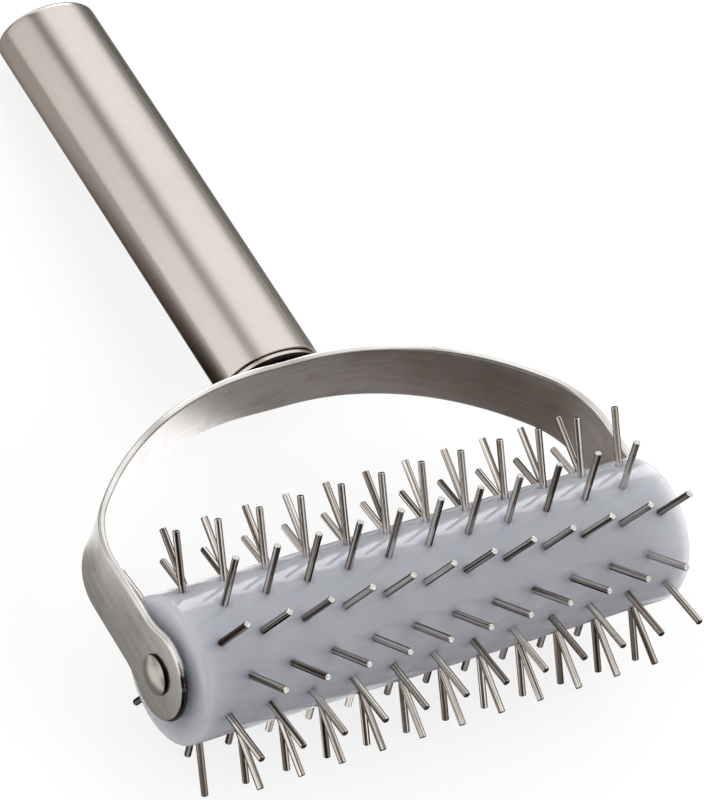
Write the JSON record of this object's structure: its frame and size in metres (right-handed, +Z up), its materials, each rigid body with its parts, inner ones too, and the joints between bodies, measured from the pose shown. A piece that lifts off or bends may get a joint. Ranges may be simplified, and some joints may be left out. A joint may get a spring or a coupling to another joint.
{
  "type": "dough docker",
  "caption": "Hand roller set with steel pins that pricks rolled dough, turning in a bent flat-bar fork with an oval tube handle.",
  "frame": {"origin": "middle of the tool's box, on the table that it lies on", "axes": "+Z up, X along the axle, +Y from the roller towards the handle's end, as it lies when put down"},
  "size_m": [0.1302, 0.1974, 0.0557],
  "materials": {
    "satin_steel": "satin, brushed lengthwise",
    "polished_steel": "polished",
    "pin_steel": "bright drawn wire",
    "white_plastic": "smooth moulded, cool white"
  },
  "bodies": {
    "frame": {"fork": "satin_steel", "handle_tube": "satin_steel", "handle_base_cap": "satin_steel", "handle_end_cap": "satin_steel", "axle": "polished_steel"},
    "roller": {"roller": "white_plastic", "pin_1_01": "pin_steel", "pin_1_02": "pin_steel", "pin_1_03": "pin_steel", "pin_1_04": "pin_steel", "pin_1_05": "pin_steel", "pin_1_06": "pin_steel", "pin_1_07": "pin_steel", "pin_1_08": "pin_steel", "pin_1_09": "pin_steel", "pin_1_10": "pin_steel", "pin_1_11": "pin_steel", "pin_1_12": "pin_steel", "pin_2_01": "pin_steel", "pin_2_02": "pin_steel", "pin_2_03": "pin_steel", "pin_2_04": "pin_steel", "pin_2_05": "pin_steel", "pin_2_06": "pin_steel", "pin_2_07": "pin_steel", "pin_2_08": "pin_steel", "pin_2_09": "pin_steel", "pin_2_10": "pin_steel", "pin_2_11": "pin_steel", "pin_3_01": "pin_steel", "pin_3_02": "pin_steel", "pin_3_03": "pin_steel", "pin_3_04": "pin_steel", "pin_3_05": "pin_steel", "pin_3_06": "pin_steel", "pin_3_07": "pin_steel", "pin_3_08": "pin_steel", "pin_3_09": "pin_steel", "pin_3_10": "pin_steel", "pin_3_11": "pin_steel", "pin_3_12": "pin_steel", "pin_4_01": "pin_steel", "pin_4_02": "pin_steel", "pin_4_03": "pin_steel", "pin_4_04": "pin_steel", "pin_4_05": "pin_steel", "pin_4_06": "pin_steel", "pin_4_07": "pin_steel", "pin_4_08": "pin_steel", "pin_4_09": "pin_steel", "pin_4_10": "pin_steel", "pin_4_11": "pin_steel"}
  },
  "joints": [
    {"name": "roller_spin", "type": "hinge", "parent": "frame", "child": "roller", "pos_m": [0, -0.07085, 0.02787], "axis": [1, 0, 0], "continuous": true}
  ]
}
